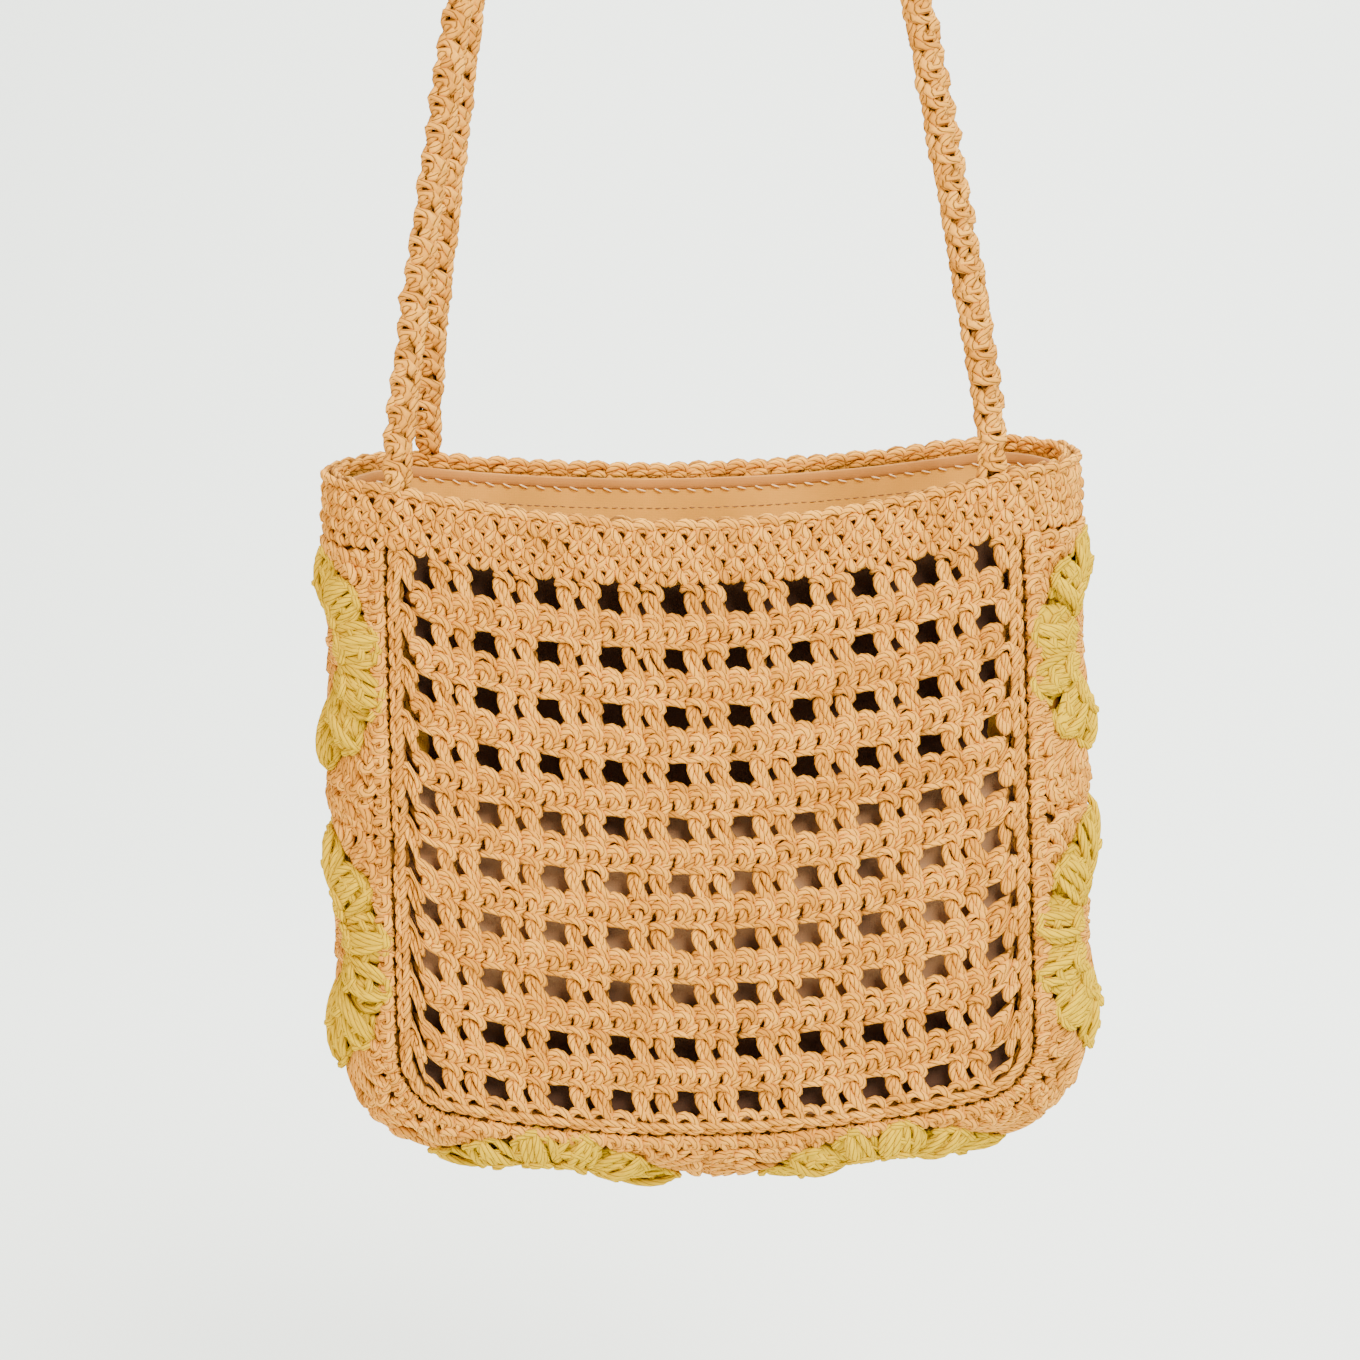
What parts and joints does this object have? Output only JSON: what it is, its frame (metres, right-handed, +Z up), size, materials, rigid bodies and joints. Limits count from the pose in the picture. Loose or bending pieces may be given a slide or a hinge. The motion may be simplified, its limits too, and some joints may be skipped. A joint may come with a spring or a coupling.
{
  "type": "crocheted shoulder bag",
  "caption": "Crocheted shoulder bag with mesh-stitch faces, a gusset of raised flower squares, a cloth lining and narrow paired straps, in its hanging form.",
  "frame": {"origin": "underside of the top of the straps' arch, where the bag hangs, midway between its two straps", "axes": "+Z up; +X to the right of someone who faces the front; +Y to the back, the side that hangs nearest the wall"},
  "size_m": [0.2798, 0.0767, 0.5634],
  "materials": {
    "tan_cotton": "matt plied cotton yarn, crocheted",
    "yellow_cotton": "matt bright yellow cotton yarn, crocheted",
    "lining_cloth": "plain-woven tan cotton cloth"
  },
  "bodies": {
    "root": {"rim_band": "tan_cotton", "front_face": "tan_cotton", "back_face": "tan_cotton", "square_left_upper": "tan_cotton", "square_left_lower": "tan_cotton", "square_bottom_left": "tan_cotton", "square_bottom_right": "tan_cotton", "square_right_lower": "tan_cotton", "square_right_upper": "tan_cotton", "flower_left_upper": "yellow_cotton", "flower_left_lower": "yellow_cotton", "flower_bottom_left": "yellow_cotton", "flower_bottom_right": "yellow_cotton", "flower_right_lower": "yellow_cotton", "flower_right_upper": "yellow_cotton", "front_join": "tan_cotton", "back_join": "tan_cotton", "front_strap": "tan_cotton", "back_strap": "tan_cotton", "lining": "lining_cloth"}
  },
  "joints": []
}
